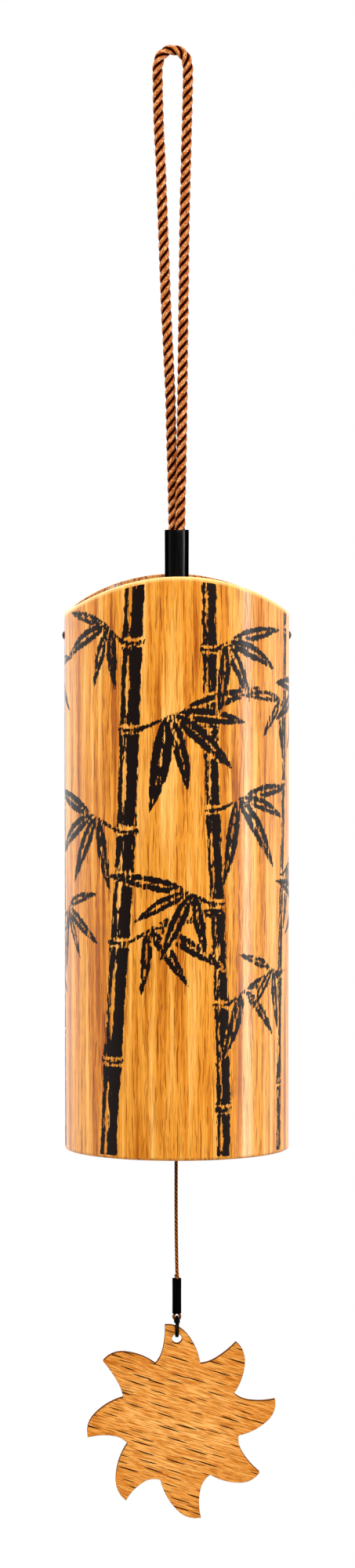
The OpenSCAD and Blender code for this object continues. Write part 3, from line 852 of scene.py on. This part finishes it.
# A spray has its stalk, the joint there, the side to which its twig grows, the twig's length,
# the number of leaves and their mean length
SPRAYS = (
    (0, 4, 1, 13, 5, 25), (0, 3, -1, 11, 4, 24), (0, 5, -1, 8, 4, 20), (0, 2, 1, 10, 4, 22),
    (1, 4, 1, 9, 4, 22), (1, 6, 1, 5, 4, 19), (1, 3, -1, 8, 4, 21), (1, 2, 1, 8, 3, 19),
    (2, 5, -1, 3, 3, 17), (2, 3, 1, 6, 4, 18), (2, 2, -1, 5, 3, 16),
    (3, 4, -1, 6, 4, 20), (3, 2, 1, 6, 4, 19), (3, 1, -1, 7, 3, 18),
    (4, 4, -1, 11, 5, 24), (4, 3, 1, 10, 4, 23), (4, 2, -1, 9, 4, 21), (4, 5, 1, 8, 4, 20),
    (5, 5, 1, 9, 4, 22), (5, 3, -1, 10, 5, 23), (5, 2, 1, 8, 4, 21),
    (6, 5, 1, 6, 4, 19), (6, 3, -1, 7, 4, 20), (6, 2, 1, 7, 3, 18),
)
GIRTH = 2 * math.pi * TUBE_R / MM
BARE = -9.0
KEYLINE = 0.4
TWIG_HALF = 0.5


def wrapped(s):
    """The same place round the tube, counted from its front."""
    return (s + GIRTH / 2) % GIRTH - GIRTH / 2


def stalk_middle(stalk, z):
    foot, lean = stalk[:2]
    return foot + lean * z + 0.5 * np.sin(z / 23.0 + foot)


def stalk_field(s, z, stalk):
    """Ink inside a stalk: sections that flare to their joints, each with a bare streak, and joint lines."""
    half, joints = stalk[2:]
    off = wrapped(s - stalk_middle(stalk, z))
    field = np.full(s.shape, BARE)
    for low, high in zip(joints, joints[1:]):
        u = (z - low) / (high - low)
        flare = half * (1 + 0.22 * np.abs(2 * u - 1) ** 6)
        section = np.minimum(flare - np.abs(off), np.minimum(z - low, high - z) - 0.95 - 0.1 * half)
        streak = np.abs(off + 0.36 * half) - 0.19 * half * np.sin(math.pi * np.clip(1.25 * u - 0.1, 0, 1))
        field = np.maximum(field, np.minimum(section, streak))
    for height in joints[1:-1]:
        bow = 0.1 * off * off / half
        line = np.minimum(0.5 - np.abs(z - height - bow + 0.1 * half), 1.28 * half - np.abs(off))
        field = np.maximum(field, line)
    return field


def leaf_field(s, z, base, angle, length, width, bend):
    """Ink inside a leaf with pointed ends and a bare midrib."""
    ds, dz = wrapped(s - base[0]), z - base[1]
    along = (ds * math.cos(angle) + dz * math.sin(angle)) / length
    t = np.clip(along, 0, 1)
    off = dz * math.cos(angle) - ds * math.sin(angle) - bend * length * t * t
    half = width / 2 * np.sin(math.pi * t ** 0.72) ** 0.85
    rib = np.abs(off) - 0.27 * np.sin(math.pi * np.clip((t - 0.06) / 0.7, 0, 1))
    field = np.minimum(half - np.abs(off), np.where(half > 0.9, rib, -BARE))
    return np.where((along > 0) & (along < 1), field, BARE)


def twig_field(s, z, start, tip, half):
    """Ink inside a straight twig that thins towards its tip."""
    ds, dz = wrapped(s - start[0]), z - start[1]
    run_s, run_z = tip[0] - start[0], tip[1] - start[1]
    t = np.clip((ds * run_s + dz * run_z) / (run_s ** 2 + run_z ** 2), 0, 1)
    return half * (1.15 - 0.4 * t) - np.hypot(ds - t * run_s, dz - t * run_z)


def ink_field(s, z):
    """Depth of the ink in mm at places round the tube and above its foot; bare wood is below 0."""
    random = np.random.default_rng(11)
    field = np.full(s.shape, BARE)
    for stalk in STALKS:
        field = np.maximum(field, stalk_field(s, z, stalk))
    for which, joint, side, reach, count, length in SPRAYS:
        stalk = STALKS[which]
        height = stalk[3][joint]
        start = (stalk_middle(stalk, height) + side * stalk[2], height)
        rise = random.uniform(0.35, 0.7)
        run = (side * reach * math.cos(rise), reach * math.sin(rise))
        tip = (start[0] + run[0], start[1] + run[1])
        field = np.maximum(field, twig_field(s, z, start, tip, TWIG_HALF))
        for n in range(count):
            share = n / (count - 1)
            along = 1 - 0.38 * share
            base = (start[0] + run[0] * along, start[1] + run[1] * along)
            fall = math.radians(18 - 112 * share + random.uniform(-7, 7))
            size = length * random.uniform(0.82, 1.12)
            bend = -side * random.uniform(0.05, 0.15)
            width = size * random.uniform(0.16, 0.21)
            leaf = leaf_field(s, z, base, fall if side > 0 else math.pi - fall, size, width, bend)
            field = np.maximum(np.minimum(field, -leaf - KEYLINE), leaf)
    return field


def arch_z(x):
    """Height of the arched rim at a distance from the tube's middle plane."""
    return TUBE_HIGH.z - ARCH_R + np.sqrt(ARCH_R ** 2 - x ** 2)


def make_tube():
    """The tube with its print: rows of points up the outside, over the arched rim and down the inside."""
    angle = 2 * math.pi * (np.arange(TUBE_COLUMNS) / TUBE_COLUMNS - 0.5)
    inner = TUBE_R - TUBE_WALL
    foot = TUBE_LOW.z
    quarter = np.linspace(0, math.pi / 2, 5)
    rows = []
    # Per-row shares: the top rim's lighter sanded wood with its painted highlight, the raw wood's colour
    # darkened as painted shade, and the print.
    edge, bare, printed = [], [], []

    def row(radius, height, worn=0.0, raw=0.0, ink=False):
        height = np.broadcast_to(height, angle.shape)
        rows.append(np.stack([radius * np.sin(angle), -radius * np.cos(angle), height], axis=1))
        edge.append(np.broadcast_to(worn, angle.shape))
        bare.append(np.broadcast_to(raw, angle.shape))
        s, z = TUBE_R / MM * angle, (height - foot) / MM
        printed.append(ink_field(s, z) if ink else np.full(angle.shape, BARE))

    # Rounded foot edge: raw wood, darkened as painted shade.
    for a in quarter:
        row(TUBE_R - SMALL_EASE * (1 - math.sin(a)), foot + SMALL_EASE * (1 - math.cos(a)), raw=0.8)
    wall_top = arch_z(TUBE_R * np.sin(angle)) - RIM_EASE
    for t in np.linspace(0, 1, TUBE_ROWS)[1:-1]:
        height = foot + SMALL_EASE + t * (wall_top - foot - SMALL_EASE)
        # Wall rows just under the rim take a fading share of the rim's lighter sanded wood and painted
        # highlight.
        row(TUBE_R, height, worn=0.6 * np.exp((height - wall_top) / (0.3 * MM)), ink=True)
    # Rounded top rim: lighter sanded wood plus a painted highlight.
    for a in quarter:
        radius = TUBE_R - RIM_EASE * (1 - math.cos(a))
        row(radius, arch_z(radius * np.sin(angle)) - RIM_EASE * (1 - math.sin(a)), worn=0.9)
    # Inner rim edge, inside wall and inner foot: raw wood, darkened as painted shade.
    for a in quarter[::-1]:
        radius = inner + SMALL_EASE * (1 - math.cos(a))
        row(radius, arch_z(radius * np.sin(angle)) - SMALL_EASE * (1 - math.sin(a)), raw=1.0)
    wall_top = arch_z(inner * np.sin(angle)) - SMALL_EASE
    for t in np.linspace(1, 0, INNER_ROWS)[1:-1]:
        row(inner, foot + SMALL_EASE + t * (wall_top - foot - SMALL_EASE), raw=1.0)
    for a in quarter:
        row(inner + SMALL_EASE * (1 - math.cos(a)), foot + SMALL_EASE * (1 - math.sin(a)), raw=1.0)
    skin = Skin()
    skin.add(np.array(rows), closed=True, edge=np.array(edge), raw=np.array(bare), ink=np.array(printed))
    tube = skin.piece("resonator_tube_wood", tube_wood(), "veneer")
    unroll(tube, np.array(rows))
    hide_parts("resonator_tube")
    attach(tube, "chime")


def unroll(tube, rings):
    """Texture map of a closed stack of rings: once round across it, and once over the profile up it."""
    rows, columns = rings.shape[:2]
    widest = rings[:, columns // 2]
    run = np.linalg.norm(np.roll(widest, -1, axis=0) - widest, axis=1)
    up = np.concatenate([[0], np.cumsum(run)]) / run.sum()
    row, column = np.meshgrid(np.arange(rows), np.arange(columns), indexing="ij")
    left, right = column / columns, (column + 1) / columns
    corners = np.stack([np.stack([left, up[row]], -1), np.stack([right, up[row]], -1),
                        np.stack([right, up[row + 1]], -1), np.stack([left, up[row + 1]], -1)], axis=2)
    layer = tube.data.uv_layers.new(name="OFBake")
    layer.uv.foreach_set("vector", (0.002 + 0.996 * corners).astype(np.float32).ravel())


# Solids that keep their shape and get a finish
def finish_node(node, material):
    mesh = frame["nodes"][node].data
    mesh.materials.clear()
    mesh.materials.append(material)


def ease_edges(node, width):
    """Rounds a solid's sharp edges. Flat faces are made whole first, because slivers spoil the bevel."""
    modifiers = frame["nodes"][node].modifiers
    weld = modifiers.new("weld", "WELD")
    weld.merge_threshold = 0.001 * MM
    whole = modifiers.new("whole faces", "DECIMATE")
    whole.decimate_type = "DISSOLVE"
    whole.angle_limit = math.radians(0.1)
    bevel = modifiers.new("ease", "BEVEL")
    bevel.width = width
    bevel.segments = 2
    bevel.limit_method = "ANGLE"
    bevel.angle_limit = math.radians(40)
    modifiers.new("flat faces", "WEIGHTED_NORMAL")


def finish_solids():
    """Materials of the solids that are seen as they were packed."""
    finish_node("sun_catcher", sun_wood())
    ease_edges("sun_catcher", 0.22 * MM)
    finish_node("striker_disc", striker_wood())
    plate = drawn_steel("plate_steel", (0.62, 0.63, 0.64), (0.36, 0.37, 0.38), (1, 1, 1), 0.34)
    finish_node("chime_plate", plate)
    rods = drawn_steel("rod_steel", (0.78, 0.79, 0.80), (0.50, 0.51, 0.53), (1, 1, 0.02), 0.2)
    for node in frame["nodes"]:
        if node.startswith("rod_"):
            finish_node(node, rods)
    solder = lumpy_metal("solder", (0.55, 0.56, 0.58), (0.26, 0.27, 0.28), 0.5 * MM, 1.0, 0.42)
    finish_node("solder_beads", solder)
    pin = lumpy_metal("pin_metal", (0.045, 0.034, 0.027), (0.014, 0.010, 0.008), 0.4 * MM, 0.6, 0.38)
    finish_node("side_pin_left", pin)
    finish_node("side_pin_right", pin)


# Studio: light from both sides and above, a white surround and a pale floor far below
TARGET = Vector((0, 0, -0.22))
FLOOR_Z = -1.75
FLOOR_R = 1.4


def soft_box(name, azimuth, elevation, distance, width, height, brightness, mirrored=True):
    """Area light that looks at the chime; azimuth 0 is at the camera and 90 to its right."""
    data = bpy.data.lights.new(name, "AREA")
    data.shape = "RECTANGLE"
    data.size, data.size_y = width, height
    data.energy = brightness * math.pi * width * height
    a, e = math.radians(azimuth), math.radians(elevation)
    back = Vector((math.sin(a) * math.cos(e), -math.cos(a) * math.cos(e), math.sin(e)))
    light = bpy.data.objects.new(name, data)
    light.location = TARGET + distance * back
    light.rotation_euler = back.to_track_quat("Z", "Y").to_euler()
    light.visible_camera = False
    light.visible_glossy = mirrored
    bpy.context.scene.collection.objects.link(light)


def make_lights():
    """Soft boxes in front on both sides, at the right, and above from behind."""
    soft_box("key", azimuth=29, elevation=42, distance=1.6, width=1.6, height=1.2, brightness=5.3)
    soft_box("side_right", azimuth=108, elevation=4, distance=1.5, width=0.6, height=1.6, brightness=1.6)
    soft_box("strip_right", azimuth=74, elevation=6, distance=1.5, width=0.2, height=1.3, brightness=20.0)
    soft_box("fill_left", azimuth=-46, elevation=30, distance=1.6, width=1.2, height=1.2, brightness=6.0,
             mirrored=False)
    soft_box("back_top", azimuth=180, elevation=46, distance=1.7, width=1.6, height=1.0, brightness=2.4)


def make_surround():
    """White backdrop. The light that comes from it is strongest behind the chime and to its left."""
    world = bpy.data.worlds.new("studio")
    world.use_nodes = True
    nodes, links = world.node_tree.nodes, world.node_tree.links
    surround = nodes["Background"]
    surround.inputs["Color"].default_value = (1, 1, 1, 1)
    backdrop = nodes.new("ShaderNodeBackground")
    backdrop.inputs["Color"].default_value = (1, 1, 1, 1)
    backdrop.inputs["Strength"].default_value = 1.0
    direction = nodes.new("ShaderNodeTexCoord").outputs["Generated"]
    behind = nodes.new("ShaderNodeVectorMath")
    behind.operation = "DOT_PRODUCT"
    behind.inputs[1].default_value = (-0.35, 0.94, 0)
    links.new(direction, behind.inputs[0])
    fade = nodes.new("ShaderNodeMapRange")
    for socket, value in (("From Min", -0.25), ("From Max", 1.0), ("To Min", 0.12), ("To Max", 1.9)):
        fade.inputs[socket].default_value = value
    links.new(behind.outputs["Value"], fade.inputs["Value"])
    links.new(fade.outputs[0], surround.inputs["Strength"])
    seen = nodes.new("ShaderNodeLightPath").outputs["Is Camera Ray"]
    both = nodes.new("ShaderNodeMixShader")
    links.new(seen, both.inputs[0])
    links.new(surround.outputs[0], both.inputs[1])
    links.new(backdrop.outputs[0], both.inputs[2])
    links.new(both.outputs[0], nodes["World Output"].inputs["Surface"])
    bpy.context.scene.world = world
    bpy.context.scene.view_settings.view_transform = "Standard"


def make_floor():
    """Round pale floor far below the chime."""
    turn = np.linspace(0, 2 * math.pi, 64, endpoint=False)
    rim = [(FLOOR_R * math.cos(a), FLOOR_R * math.sin(a), FLOOR_Z) for a in turn]
    mesh = bpy.data.meshes.new("floor")
    mesh.from_pydata(rim, [], [range(len(rim))])
    mesh.materials.append(floor_paint())
    floor = bpy.data.objects.new("floor", mesh)
    bpy.context.scene.collection.objects.link(floor)


make_camera()
make_rope_loop()
make_rope_tails()
make_neck()
make_stopper_knot()
make_striker_cord()
make_hanger_sleeve()
make_catcher_cord(make_cord_sleeve())
make_link()
make_tube()
finish_solids()
make_lights()
make_surround()
make_floor()
